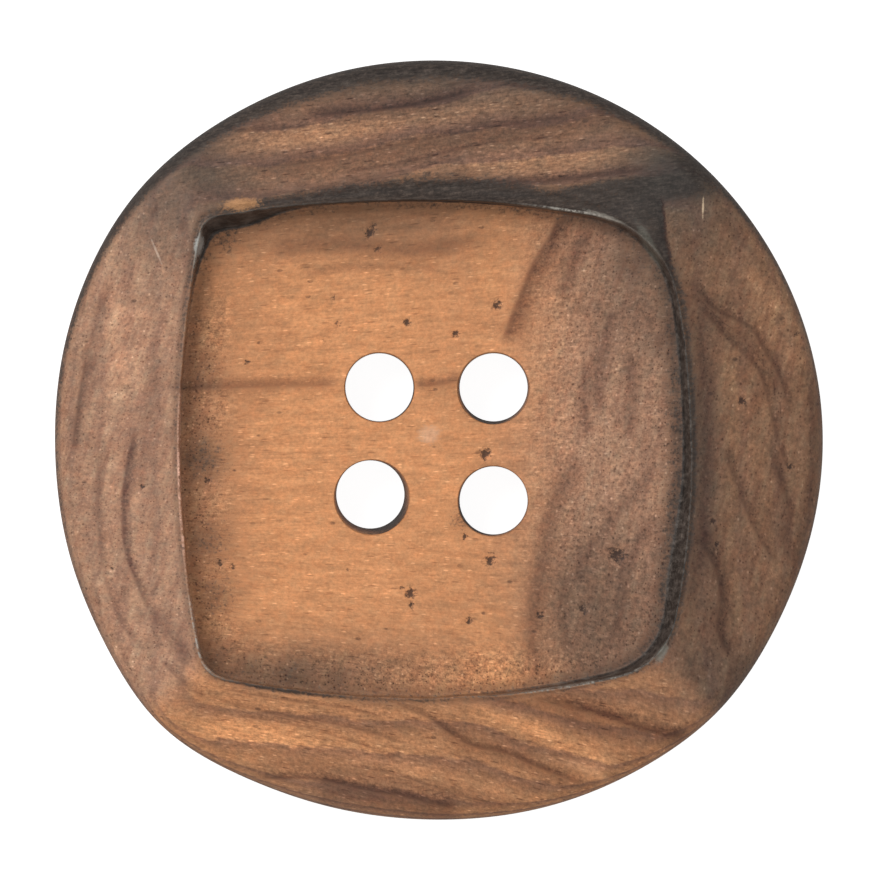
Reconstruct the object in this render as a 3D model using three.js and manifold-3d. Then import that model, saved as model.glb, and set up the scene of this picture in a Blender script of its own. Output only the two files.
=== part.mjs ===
// Sew-on coat button with four thread holes, carved from one piece of hardwood.
//
// Units are millimetres. The origin is the centre of the flat back, +Z points out of the front,
// +X runs along the wood's fibres and +Y points up as the button is worn.
// The front is a bowed-square sunken well inside a rim of four flat facets. The facets fall away
// from the well and meet in soft mitres at its corners. The outline is a disc that the facets
// have flattened a little, so it bulges slightly at the corners.

import * as THREE from "three";
import { mergeVertices } from "three/addons/utils/BufferGeometryUtils.js";
import Module from "manifold-3d";

// Overall size.
const BUTTON_RADIUS = 14.02; // the disc before its bulges and flats
const EDGE_HEIGHT = 3.9; // top of the well's edge at the middle of a side
const FACET_SLOPE_DEG = 13; // fall of the rim's facets, away from the well
const MITRE_SOFTNESS = 0.7; // width over which two facets blend
const TOP_ROUND = 0.9; // rounding where the rim meets the outer edge
const BACK_ROUND = 0.7; // rounding where the outer edge meets the back

// Bulges and flats of the outline: direction in degrees, height, and spread in degrees.
const OUTLINE_WAVES = [
  { at: 140, height: 0.17, spread: 16 },
  { at: 226, height: 0.35, spread: 13 },
  { at: 317, height: 0.17, spread: 13 },
  { at: 4, height: 0.07, spread: 24 },
  { at: 83, height: -0.12, spread: 34 },
  { at: 182, height: -0.14, spread: 16 },
  { at: 268, height: -0.27, spread: 24 },
];

// The well's four sides are arcs that bow outwards: facing direction in degrees, distance of the
// arc's middle from the centre, and radius of the bow. `softness` rounds the corner to the next
// side, going anticlockwise.
const WELL_SIDES = [
  { facing: 1, reach: 9.3, bow: 32, softness: 2.5 },
  { facing: 88.3, reach: 8.84, bow: 40, softness: 0.5 },
  { facing: 179.7, reach: 9.38, bow: 38, softness: 0.8 },
  { facing: 271.6, reach: 9.34, bow: 34, softness: 1.7 },
];
const FLOOR_THICKNESS = 2.8; // wood left under the well, beside its wall
const FLOOR_DISH = 0.12; // how much lower the floor is at its centre
const FLOOR_FILLET = 0.16; // rounding where the floor meets the wall

// The wall of the well slopes. Its width, seen from the front, grows to the right by `rightwards`,
// and spreads further in places: direction in degrees, extra width, and spread in degrees.
const WALL_RUN = { least: 0.07, rightwards: 0.16 };
const WALL_SPREADS = [
  { at: -30, extra: 0.28, spread: 15 },
  { at: 133, extra: 0.5, spread: 8 },
];

// Thread holes: centre at the back, how much larger the diameter is at the mouth, and the side
// that the hole widens to, as a direction in degrees.
const HOLE_DIAMETER = 2.48;
const THREAD_HOLES = [
  { centre: [-2.07, 2.0], wider: 0.05, towards: -35 },
  { centre: [2.1, 2.0], wider: 0.12, towards: -98 },
  { centre: [-2.4, -1.91], wider: 0.26, towards: -55 },
  { centre: [2.1, -2.13], wider: 0.07, towards: -140 },
];

// Fineness of the faceted surfaces.
const SECTORS = 160; // steps around the button
const FLOOR_SHARES = [0.35, 0.7, 1]; // rows of the floor, as shares of its radius
const RIM_STEPS = 3; // steps across the rim
const ROUND_STEPS = 4; // steps across each rounding of the outer edge
const HOLE_STEPS = 40; // steps around a thread hole
const CLOSE = 1e-4; // two places nearer than this are one

const WOOD_COLOUR = 0xa9764a;
const WOOD_ROUGHNESS = 0.55;

const rad = THREE.MathUtils.degToRad;
const facetFall = Math.tan(rad(FACET_SLOPE_DEG));

// Smallest signed turn from one direction to another, in degrees.
function turnBetween(from, to) {
  return THREE.MathUtils.euclideanModulo(to - from + 180, 360) - 180;
}

// The larger of two values, with the crease between them rounded over `softness`.
function softMax(a, b, softness) {
  const overlap = Math.max(softness - Math.abs(a - b), 0);
  return Math.max(a, b) + overlap ** 2 / (4 * softness);
}

// A smooth bump of height 1 in one direction, fading over `spread` degrees to either side.
function bump(deg, at, spread) {
  return Math.exp(-((turnBetween(at, deg) / spread) ** 2));
}

function outlineRadius(deg) {
  return OUTLINE_WAVES.reduce(
    (radius, { at, height, spread }) => radius + height * bump(deg, at, spread),
    BUTTON_RADIUS,
  );
}

function wallRun(deg) {
  const run = WALL_RUN.least + WALL_RUN.rightwards * Math.max(Math.cos(rad(deg)), 0);
  return WALL_SPREADS.reduce((sum, { at, extra, spread }) => sum + extra * bump(deg, at, spread), run);
}

// The last side that a direction has passed going anticlockwise, the side that follows it, and
// the softness of the corner between the two.
function sidesNear(deg) {
  const turns = WELL_SIDES.map(({ facing }) => THREE.MathUtils.euclideanModulo(deg - facing, 360));
  const index = turns.indexOf(Math.min(...turns));
  const side = WELL_SIDES[index];
  return { side, next: WELL_SIDES[(index + 1) % WELL_SIDES.length], softness: side.softness };
}

// How far a point lies outside the arc of one side of the well.
function beyondArc(x, y, { facing, reach, bow }) {
  const centre = reach - bow;
  return Math.hypot(x - centre * Math.cos(rad(facing)), y - centre * Math.sin(rad(facing))) - bow;
}

// How far a point lies beyond the straight line that touches the middle of one side's arc.
function beyondTangent(x, y, { facing, reach }) {
  return x * Math.cos(rad(facing)) + y * Math.sin(rad(facing)) - reach;
}

// Distance from the centre to the edge of the well in one direction, found by halving.
function wellEdgeRadius(deg) {
  const { side, next, softness } = sidesNear(deg);
  let inside = 0;
  let outside = BUTTON_RADIUS;
  while (outside - inside > CLOSE) {
    const middle = (inside + outside) / 2;
    const x = middle * Math.cos(rad(deg));
    const y = middle * Math.sin(rad(deg));
    if (softMax(beyondArc(x, y, side), beyondArc(x, y, next), softness) < 0) inside = middle;
    else outside = middle;
  }
  return inside;
}

// Height of the faceted rim above the back.
function rimHeight(deg, radius) {
  const { side, next } = sidesNear(deg);
  const x = radius * Math.cos(rad(deg));
  const y = radius * Math.sin(rad(deg));
  const beyond = softMax(beyondTangent(x, y, side), beyondTangent(x, y, next), MITRE_SOFTNESS);
  return EDGE_HEIGHT - facetFall * beyond;
}

// The half section in one direction, from the middle of the floor, over the well's edge and the
// rim, round the outer edge and in along the back, as [radius, height] pairs.
function halfSection(deg) {
  const edge = wellEdgeRadius(deg);
  const outline = outlineRadius(deg);
  const wallFoot = edge - wallRun(deg);
  const floorEnd = wallFoot - FLOOR_FILLET;
  const floorHeight = (radius) => FLOOR_THICKNESS - FLOOR_DISH * (1 - (radius / edge) ** 2);

  const section = [];
  for (const share of FLOOR_SHARES) {
    section.push([floorEnd * share, floorHeight(floorEnd * share)]);
  }
  section.push([wallFoot, floorHeight(wallFoot) + FLOOR_FILLET]);

  const rimEnd = outline - TOP_ROUND;
  for (let step = 0; step <= RIM_STEPS; step++) {
    const radius = edge + (rimEnd - edge) * (step / RIM_STEPS);
    section.push([radius, rimHeight(deg, radius)]);
  }
  const shoulder = rimHeight(deg, rimEnd);
  for (let step = 1; step <= ROUND_STEPS; step++) {
    const turn = (Math.PI / 2) * (step / ROUND_STEPS);
    section.push([rimEnd + TOP_ROUND * Math.sin(turn), shoulder - TOP_ROUND * (1 - Math.cos(turn))]);
  }
  for (let step = 0; step <= ROUND_STEPS; step++) {
    const turn = (Math.PI / 2) * (step / ROUND_STEPS);
    section.push([
      outline - BACK_ROUND * (1 - Math.cos(turn)),
      BACK_ROUND * (1 - Math.sin(turn)),
    ]);
  }
  return section;
}

// The carved body before drilling: half sections all the way round, joined into one skin that
// closes on the axis at the front and at the back.
function carvedBody() {
  const points = [];
  const triangles = [];
  let rows = 0;
  for (let sector = 0; sector < SECTORS; sector++) {
    const deg = (360 * sector) / SECTORS;
    const section = halfSection(deg);
    rows = section.length;
    for (const [radius, height] of section) {
      points.push(radius * Math.cos(rad(deg)), radius * Math.sin(rad(deg)), height);
    }
  }
  const frontCentre = points.length / 3;
  points.push(0, 0, FLOOR_THICKNESS - FLOOR_DISH);
  const backCentre = frontCentre + 1;
  points.push(0, 0, 0);

  for (let sector = 0; sector < SECTORS; sector++) {
    const here = sector * rows;
    const there = ((sector + 1) % SECTORS) * rows;
    triangles.push(frontCentre, here, there);
    for (let row = 0; row + 1 < rows; row++) {
      triangles.push(here + row, here + row + 1, there + row + 1);
      triangles.push(here + row, there + row + 1, there + row);
    }
    triangles.push(here + rows - 1, backCentre, there + rows - 1);
  }
  const geometry = new THREE.BufferGeometry();
  geometry.setAttribute("position", new THREE.Float32BufferAttribute(points, 3));
  geometry.setIndex(triangles);
  return geometry;
}

// The space one thread hole takes up, reaching past the body at both ends: a cone whose side away
// from `towards` is upright.
function threadHole({ centre, wider, towards }) {
  const ring = (height) => {
    const growth = (wider / 2) * (height / FLOOR_THICKNESS);
    const x = centre[0] + growth * Math.cos(rad(towards));
    const y = centre[1] + growth * Math.sin(rad(towards));
    const radius = HOLE_DIAMETER / 2 + growth;
    return { x, y, height, radius };
  };
  const ends = [ring(-FLOOR_THICKNESS / 2), ring(FLOOR_THICKNESS * 1.5)];
  const points = [];
  for (const { x, y, height, radius } of ends) {
    for (let step = 0; step < HOLE_STEPS; step++) {
      const turn = (2 * Math.PI * step) / HOLE_STEPS;
      points.push(x + radius * Math.cos(turn), y + radius * Math.sin(turn), height);
    }
  }
  const triangles = [];
  for (let step = 0; step < HOLE_STEPS; step++) {
    const next = (step + 1) % HOLE_STEPS;
    triangles.push(step, next, HOLE_STEPS + next, step, HOLE_STEPS + next, HOLE_STEPS + step);
  }
  for (let step = 1; step + 1 < HOLE_STEPS; step++) {
    triangles.push(0, step + 1, step, HOLE_STEPS, HOLE_STEPS + step, HOLE_STEPS + step + 1);
  }
  const geometry = new THREE.BufferGeometry();
  geometry.setAttribute("position", new THREE.Float32BufferAttribute(points, 3));
  geometry.setIndex(triangles);
  return geometry;
}

const wasm = await Module();
wasm.setup();

// A closed geometry as a solid that can be cut.
function solidOf(geometry) {
  const bare = new THREE.BufferGeometry().setAttribute("position", geometry.getAttribute("position"));
  bare.setIndex(geometry.getIndex());
  const merged = mergeVertices(bare, CLOSE);
  return new wasm.Manifold(
    new wasm.Mesh({
      numProp: 3,
      vertProperties: merged.getAttribute("position").array,
      triVerts: new Uint32Array(merged.getIndex().array),
    }),
  );
}

// A solid as a geometry that can be shown.
function geometryOf(solid) {
  const { vertProperties, triVerts } = solid.getMesh();
  const geometry = new THREE.BufferGeometry();
  geometry.setAttribute("position", new THREE.Float32BufferAttribute(vertProperties, 3));
  geometry.setIndex(Array.from(triVerts));
  geometry.computeVertexNormals();
  return geometry;
}

function drilledBody() {
  const drilled = THREAD_HOLES.reduce(
    (body, hole) => body.subtract(solidOf(threadHole(hole))),
    solidOf(carvedBody()),
  );
  return geometryOf(drilled);
}

const wood = new THREE.MeshStandardMaterial({
  color: WOOD_COLOUR,
  roughness: WOOD_ROUGHNESS,
  metalness: 0,
});

const buttonBody = new THREE.Mesh(drilledBody(), wood);
buttonBody.name = "button_body";

const button = new THREE.Group();
button.name = "sew_on_button";
button.add(buttonBody);

export default button;
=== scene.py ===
"""Looks of a carved wooden sew-on button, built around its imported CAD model.

Shape formulas work in millimetres; finished objects are in metres, in the CAD model's frame.
The origin is the middle of the flat back, +Z comes out of the front, +X follows the wood's
fibres and +Y is up. Directions round the button are degrees anticlockwise from +X.
"""

import math

import bpy
import numpy as np
from mathutils import Matrix, Vector, noise


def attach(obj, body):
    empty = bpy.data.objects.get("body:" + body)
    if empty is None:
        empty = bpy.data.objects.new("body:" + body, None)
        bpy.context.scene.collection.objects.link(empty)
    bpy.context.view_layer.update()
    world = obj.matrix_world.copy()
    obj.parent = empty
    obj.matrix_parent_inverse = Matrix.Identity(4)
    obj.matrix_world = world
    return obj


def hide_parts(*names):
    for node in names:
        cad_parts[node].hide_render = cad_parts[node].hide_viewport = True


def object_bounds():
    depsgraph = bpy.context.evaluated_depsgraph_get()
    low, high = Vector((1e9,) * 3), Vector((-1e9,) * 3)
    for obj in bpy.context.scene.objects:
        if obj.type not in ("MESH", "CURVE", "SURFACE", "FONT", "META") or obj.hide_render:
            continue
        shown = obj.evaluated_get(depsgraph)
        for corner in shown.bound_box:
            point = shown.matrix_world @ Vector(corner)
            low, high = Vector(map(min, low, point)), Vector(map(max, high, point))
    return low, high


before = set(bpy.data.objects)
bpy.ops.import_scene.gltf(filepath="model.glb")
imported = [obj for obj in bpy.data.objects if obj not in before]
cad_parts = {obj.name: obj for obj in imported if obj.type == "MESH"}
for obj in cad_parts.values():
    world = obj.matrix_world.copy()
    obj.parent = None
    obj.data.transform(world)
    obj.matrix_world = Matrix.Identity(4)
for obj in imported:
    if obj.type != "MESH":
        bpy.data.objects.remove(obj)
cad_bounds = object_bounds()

MM = 0.001
CAD_NODE = "button_body"

# ---------------------------------------------------------------------------------------------
# Shape of the button, in millimetres.
# ---------------------------------------------------------------------------------------------

BASE_RADIUS = 14.018  # a hair less than the CAD model's, to stay inside its box
OUTLINE_WAVES = (  # direction, height, spread in degrees
    (140, 0.17, 16),
    (226, 0.35, 13),
    (317, 0.17, 13),
    (4, 0.07, 24),
    (83, -0.12, 34),
    (182, -0.14, 16),
    (268, -0.27, 24),
)
WELL_SIDES = (  # facing direction, reach from the centre, radius of the bow, softness of the next corner
    (1.0, 9.30, 32, 2.5),
    (88.3, 8.84, 40, 0.5),
    (179.7, 9.38, 38, 0.8),
    (271.6, 9.34, 34, 1.7),
)
CORNER_DIRECTIONS = (-43.0, 44.5, 136.5, 225.5)  # where the mitres run, starting at the lower right
LIP_HEIGHT = 3.9  # at the middle of a side
FACET_FALL = math.tan(math.radians(13))
MITRE_SOFTNESS = 0.7
FLOOR_THICKNESS = 2.8
FLOOR_DISH = 0.12
TOP_ROUND = 0.9
BACK_ROUND = 0.7
HOLE_RADIUS = 1.24  # at the back
HOLES = (  # centre at the back, how much wider the mouth is, and the direction it widens towards
    ((-2.07, 2.00), 0.05, -35),
    ((2.10, 2.00), 0.12, -98),
    ((-2.40, -1.91), 0.26, -55),
    ((2.10, -2.13), 0.07, -140),
)


def turn(start, end):
    """Signed turn between two directions, in degrees."""
    return (end - start + 180) % 360 - 180


def soft_max(a, b, softness):
    overlap = np.maximum(softness - np.abs(a - b), 0)
    return np.maximum(a, b) + overlap**2 / (4 * softness)


def bell(value, middle, spread):
    return np.exp(-(((value - middle) / spread) ** 2))


def step(value, start, end):
    """Rises smoothly from 0 at start to 1 at end, which may be the smaller of the two."""
    t = np.clip((value - start) / (end - start), 0, 1)
    return t * t * (3 - 2 * t)


def rough(x, y, z=0.0, octaves=3, seed=0.0):
    """Smooth noise of about -1 to 1 at each point, one bump per unit of x, y and z."""
    z = np.broadcast_to(z, np.shape(x))
    return np.array([noise.fractal((a, b, c + seed), 1.0, 2.0, octaves) for a, b, c in zip(x, y, z)])


def outline_radius(direction):
    radius = np.full_like(direction, BASE_RADIUS)
    for at, height, spread in OUTLINE_WAVES:
        radius += height * bell(turn(at, direction), 0, spread)
    return radius


def beyond_arc(x, y, side):
    facing, reach, bow, _ = side
    a = math.radians(facing)
    return np.hypot(x - (reach - bow) * math.cos(a), y - (reach - bow) * math.sin(a)) - bow


def beyond_tangent(x, y, side):
    facing, reach, _, _ = side
    a = math.radians(facing)
    return x * math.cos(a) + y * math.sin(a) - reach


def beyond_sides(x, y, measure):
    """The soft largest value of a per-side measure over the two sides nearest to each point."""
    direction = np.degrees(np.arctan2(y, x))
    result = np.full_like(x, -BASE_RADIUS)
    for index, side in enumerate(WELL_SIDES):
        following = WELL_SIDES[(index + 1) % 4]
        here = np.abs(turn(side[0] + 45, direction)) <= 47
        softness = side[3] if measure is beyond_arc else MITRE_SOFTNESS
        value = soft_max(measure(x, y, side), measure(x, y, following), softness)
        result = np.where(here, np.maximum(result, value), result)
    return result


def lip_radius(direction):
    """Distance from the centre to the edge of the well, found by halving."""
    c, s = np.cos(np.radians(direction)), np.sin(np.radians(direction))
    inside, outside = np.zeros_like(direction), np.full_like(direction, BASE_RADIUS)
    for _ in range(30):
        middle = (inside + outside) / 2
        beyond = beyond_sides(middle * c, middle * s, beyond_arc) > 0
        outside = np.where(beyond, middle, outside)
        inside = np.where(beyond, inside, middle)
    return inside


def rim_height(x, y):
    return LIP_HEIGHT - FACET_FALL * beyond_sides(x, y, beyond_tangent)


def wall_run(direction):
    """Width of the sloping wall, seen from the front: it spreads at the lower right and upper left."""
    rightwards = np.maximum(np.cos(np.radians(direction)), 0)
    spread = 0.28 * bell(turn(-30, direction), 0, 15) + 0.50 * bell(turn(133, direction), 0, 8)
    return 0.07 + 0.16 * rightwards + spread


def cove_width(direction):
    """Width of the shallow hollow just outside the lip: widest above the well."""
    return 0.16 + 0.50 * bell(turn(85, direction), 0, 42)


def floor_height(radius, lip):
    return FLOOR_THICKNESS - FLOOR_DISH * (1 - (radius / lip) ** 2)


# ---------------------------------------------------------------------------------------------
# The mesh: a square grid of rings, each ring following the outline, closed underneath.
# ---------------------------------------------------------------------------------------------

FLOOR_RINGS, WALL_RINGS, RIM_RINGS = 62, 20, 36
EDGE_ROWS, BACK_ROWS = 9, 8
FLOOR_FILLET = 0.16
LIP_ROUND = 0.06  # half width of the rounded lip
COVE_DEPTH = 0.16  # as a share of the cove's width


FILLET_SHARE = 0.35  # of the rows between the floor and the lip, the share spent on the fillet
RISE_SHARE = 0.40  # and on the straight wall; the rest goes over the lip


def wall_section(t, floor_end, foot, lip, floor_z, lip_z):
    """From the floor (t = 0) up a hollow fillet and the wall to the middle of the lip (t = 1)."""
    over_start = FILLET_SHARE + RISE_SHARE
    fillet = np.clip(t / FILLET_SHARE, 0, 1)
    rise = np.clip((t - FILLET_SHARE) / RISE_SHARE, 0, 1)
    over = np.clip((t - over_start) / (1 - over_start), 0, 1) * math.pi / 2
    wall_low_z = floor_z + FLOOR_FILLET * 0.8
    radius = floor_end + (foot - floor_end) * np.sin(fillet * math.pi / 2)
    radius = radius + (lip - LIP_ROUND - foot) * rise + LIP_ROUND * (1 - np.cos(over))
    height = floor_z + (wall_low_z - floor_z) * (1 - np.cos(fillet * math.pi / 2))
    height = height + (lip_z - LIP_ROUND - wall_low_z) * rise + LIP_ROUND * np.sin(over)
    return radius, height


def cove_drop(beyond_lip, direction):
    """How far the rim lies below its plain facet beside the lip."""
    width = cove_width(direction)
    hollow = COVE_DEPTH * width * bell(beyond_lip, width * 0.45, width * 0.45)
    return hollow * step(beyond_lip, 0, LIP_ROUND * 1.5)


def ring_directions(ring):
    """Directions of the vertices of one square ring, 8 * ring of them."""
    directions = []
    for corner in range(4):
        start = CORNER_DIRECTIONS[corner]
        sweep = (CORNER_DIRECTIONS[(corner + 1) % 4] - start) % 360
        directions.append(start + sweep * np.arange(2 * ring) / (2 * ring))
    return np.concatenate(directions)


def ring_places(ring):
    """(direction, radius, height) of the vertices of one ring of the front."""
    direction = ring_directions(ring)
    c, s = np.cos(np.radians(direction)), np.sin(np.radians(direction))
    lip = lip_radius(direction)
    foot = lip - wall_run(direction)
    floor_end = foot - FLOOR_FILLET
    if ring <= FLOOR_RINGS:
        radius = floor_end * ring / FLOOR_RINGS
        return direction, radius, floor_height(radius, lip)
    if ring <= FLOOR_RINGS + WALL_RINGS:
        t = (ring - FLOOR_RINGS) / WALL_RINGS
        lip_z = rim_height(lip * c, lip * s)
        return direction, *wall_section(t, floor_end, foot, lip, floor_height(foot, lip), lip_z)
    t = ((ring - FLOOR_RINGS - WALL_RINGS) / RIM_RINGS) ** 1.25
    radius = lip + (outline_radius(direction) - TOP_ROUND - lip) * t
    return direction, radius, rim_height(radius * c, radius * s) - cove_drop(radius - lip, direction)


def edge_rows(direction):
    """Rows of (radius, height) from the end of the rim round the outer edge and in along the back."""
    c, s = np.cos(np.radians(direction)), np.sin(np.radians(direction))
    outline = outline_radius(direction)
    rim_end = outline - TOP_ROUND
    shoulder = rim_height(rim_end * c, rim_end * s)
    quarter = [(math.pi / 2) * index / EDGE_ROWS for index in range(EDGE_ROWS + 1)]
    for a in quarter[1:]:
        yield rim_end + TOP_ROUND * math.sin(a), shoulder - TOP_ROUND * (1 - math.cos(a))
    for t in np.arange(1, EDGE_ROWS) / EDGE_ROWS:
        yield outline, (shoulder - TOP_ROUND) * (1 - t) + BACK_ROUND * t
    for a in quarter:
        height = BACK_ROUND * (1 - math.sin(a))
        yield outline - BACK_ROUND * (1 - math.cos(a)), np.full_like(outline, height)
    for t in np.arange(1, BACK_ROWS) / BACK_ROWS:
        yield (outline - BACK_ROUND) * (1 - t), np.zeros_like(outline)


def square_ring_faces(ring, outer, inner):
    """Faces between one square ring, whose first vertex is outer, and the ring inside it."""
    around, inside = 8 * ring, max(8 * (ring - 1), 1)
    for corner in range(4):
        first = corner * 2 * ring
        corner_inside = inner + (corner * 2 * (ring - 1)) % inside
        yield outer + (first - 1) % around, outer + first, outer + first + 1, corner_inside
        for k in range(1, 2 * ring - 1):
            i = corner * 2 * (ring - 1) + k - 1
            start, end = outer + first + k, outer + (first + k + 1) % around
            yield start, end, inner + (i + 1) % inside, inner + i % inside


def build_grid():
    """Vertices (n, 3) in millimetres and faces of the undrilled button."""
    vertices, faces = [np.array([[0.0, 0.0, FLOOR_THICKNESS - FLOOR_DISH]])], []
    inner, count = 0, 1

    def add_ring(direction, radius, height):
        c, s = np.cos(np.radians(direction)), np.sin(np.radians(direction))
        vertices.append(np.column_stack((radius * c, radius * s, height)))

    rings = FLOOR_RINGS + WALL_RINGS + RIM_RINGS
    for ring in range(1, rings + 1):
        add_ring(*ring_places(ring))
        faces.extend(square_ring_faces(ring, count, inner))
        inner, count = count, count + 8 * ring
    around = 8 * rings
    direction = ring_directions(rings)
    for radius, height in edge_rows(direction):
        add_ring(direction, radius, height)
        following = [(k, (k + 1) % around) for k in range(around)]
        faces.extend((inner + a, count + a, count + b, inner + b) for a, b in following)
        inner, count = count, count + around
    vertices.append(np.zeros((1, 3)))
    faces.extend((inner + a, count, inner + b) for a, b in following)
    return np.concatenate(vertices), faces


def carve_by_hand(points):
    """Adds the unevenness of hand work: a wavering lip and gentle hollows in the facets and floor."""
    x, y, z = points.T
    upper = step(z, 0.3, 1.6)
    lift = 0.03 * rough(x * 0.35, y * 0.35, octaves=2) + 0.012 * rough(x * 0.9, y * 1.8, octaves=2, seed=5)
    waver = 0.04 * rough(x * 0.5, y * 0.5, octaves=3, seed=9)
    radius = np.maximum(np.hypot(x, y), 1e-6)
    sway = waver * step(radius, 6, 8.5) * step(radius, 13.6, 12.6)
    pits = 0.05 * step(spot_distance(x, y), 1.3, 0.4)
    moved = points.copy()
    moved[:, 0] += x / radius * sway
    moved[:, 1] += y / radius * sway
    moved[:, 2] += (lift - 0.03 - pits) * upper * step(radius, 14.0, 13.2)
    return moved


def add_object(name, data, location=(0, 0, 0)):
    made = bpy.data.objects.new(name, data)
    made.location = location
    bpy.context.scene.collection.objects.link(made)
    return made


def new_object(name, vertices, faces):
    """An object made of a mesh given in millimetres."""
    mesh = bpy.data.meshes.new(name)
    mesh.from_pydata((np.asarray(vertices) * MM).tolist(), [], faces)
    mesh.validate()
    return add_object(name, mesh)


def hole_centre(hole, z):
    """Centre and radius of a thread hole at a height, widening towards its mouth."""
    (x, y), wider, towards = hole
    share = 0.5 * wider * z / FLOOR_THICKNESS
    a = math.radians(towards)
    return x + share * math.cos(a), y + share * math.sin(a), HOLE_RADIUS + share


def hole_cutter(index, hole):
    """The drill's path, which widens to one side and flares where it leaves the floor and the back."""
    floor = FLOOR_THICKNESS - FLOOR_DISH - 0.03
    flares = (  # height, and how much larger the radius is there
        (-1.0, 0.10),
        (0.0, 0.03),
        (0.05, 0.0),
        (floor - 0.10, 0.0),
        (floor - 0.03, 0.01),
        (floor + 0.03, 0.04),
        (floor + 1.0, 0.5),
    )
    steps = 96
    vertices, faces = [], []
    for height, flare in flares:
        x, y, radius = hole_centre(hole, height)
        for k in range(steps):
            a = 2 * math.pi * k / steps
            reach = radius + flare
            vertices.append((x + reach * math.cos(a), y + reach * math.sin(a), height))
    for row in range(len(flares) - 1):
        for k in range(steps):
            a, b = row * steps + k, row * steps + (k + 1) % steps
            faces.append((a, b, b + steps, a + steps))
    faces.append(tuple(range(steps))[::-1])
    faces.append(tuple((len(flares) - 1) * steps + k for k in range(steps)))
    return new_object(f"hole_cutter_{index}", vertices, faces)


def drill(piece):
    """Cuts the thread holes right through the piece."""
    for index, hole in enumerate(HOLES):
        cutter = hole_cutter(index, hole)
        modifier = piece.modifiers.new("drill", "BOOLEAN")
        modifier.operation = "DIFFERENCE"
        modifier.solver = "EXACT"
        modifier.object = cutter
        depsgraph = bpy.context.evaluated_depsgraph_get()
        drilled = bpy.data.meshes.new_from_object(piece.evaluated_get(depsgraph))
        piece.modifiers.clear()
        piece.data = drilled
        bpy.data.objects.remove(cutter)


# ---------------------------------------------------------------------------------------------
# What the shader needs to know at each point, worked out once per vertex.
# ---------------------------------------------------------------------------------------------


def srgb(*channels):
    """Linear colour of an sRGB colour given as 0 to 255."""
    c = np.array(channels) / 255
    return np.where(c <= 0.04045, c / 12.92, ((c + 0.055) / 1.055) ** 2.4)


# Colours of char, which in places also serve as painted shade, and of places rubbed bare, which on the lip
# also serve as a painted highlight, as sRGB.
BLACKENED = (40, 35, 32)
SINGED = (68, 60, 54)
DULL_SOOT = (88, 80, 74)
SMOKE = (118, 106, 96)
SILVER = (154, 149, 140)
BLUSH = (206, 160, 138)

# The wood is honey-coloured, and turns rosy, then walnut-dark, then ashen. As sRGB.
HONEY = (210, 145, 100)
ROSE = (180, 135, 110)
WALNUT = (105, 80, 65)
ASH = (70, 65, 60)

# How rosy, dark and smoky the wood is, partly as painted light and shade (the left facet paler, the right
# one darker, as if lit from the left): on each facet of the rim, by its facing direction,
FACET_TONES_AND_LIGHTING = (
    (0, (0.3, 0.85, 0.0)),
    (90, (0.4, 0.80, 0.0)),
    (180, (1.0, 0.20, 0.0)),
    (270, (0.0, 0.45, 0.0)),
)
# on the floor's left and right, and on the back.
FLOOR_LEFT_SHADE = (0.0, 0.05, 0.0)
FLOOR_RIGHT_SHADE = (1.0, 0.25, 0.0)
BACK_SHADE = (0.3, 0.55, 0.0)

# Where the rim departs from its facets: middle, half width and half height, and the change.
RIM_ZONES = (
    ((-9.5, 9.0), (2.5, 2.5), (0.3, 0.30, 0.55)),  # upper left corner, smoked
    ((-13.0, 0.0), (0.8, 7.0), (0.0, 0.15, 0.00)),  # outer edge of the left facet
    ((-9.5, 0.0), (0.8, 5.0), (0.0, 0.15, 0.00)),  # painted shade on the inner edge of the left facet, beside the lip
    ((0.0, 13.0), (7.0, 1.0), (0.0, 0.10, 0.40)),  # outer edge of the top facet
    ((-4.0, 11.0), (3.0, 1.2), (0.0, -0.20, 0.00)),  # pale streak of the top facet
    ((8.5, 9.5), (2.2, 2.0), (0.0, 0.00, 1.00)),  # upper right corner, burnt
    ((12.0, 4.0), (1.5, 3.0), (0.0, -0.10, 0.00)),  # paler upper part of the right facet
    ((9.5, -1.0), (0.8, 5.0), (0.0, 0.10, 0.35)),  # painted shade on the inner edge of the right facet, beside the lip
    ((10.0, -9.0), (2.5, 1.5), (0.4, 0.25, 0.05)),  # lower right corner
    ((-6.5, -10.5), (2.5, 1.0), (0.0, -0.20, 0.00)),  # pale end of the bottom facet
    ((-4.0, -13.0), (4.0, 1.0), (0.5, 0.00, 0.00)),  # its rosy outer edge
)
FLOOR_ZONES = (
    ((-3.0, 8.0), (6.0, 1.5), (0.0, 0.65, 0.00)),  # upper margin
    ((-9.0, 0.0), (1.5, 7.0), (0.3, 0.35, 0.00)),  # left margin
    ((-5.0, -8.5), (5.0, 1.4), (0.3, 0.75, 0.05)),  # lower margin
    ((8.0, 5.5), (2.5, 3.0), (0.0, 0.35, 0.15)),  # upper right
    ((5.5, -6.0), (2.5, 3.0), (0.2, 0.65, 0.00)),  # lower right
)
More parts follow.
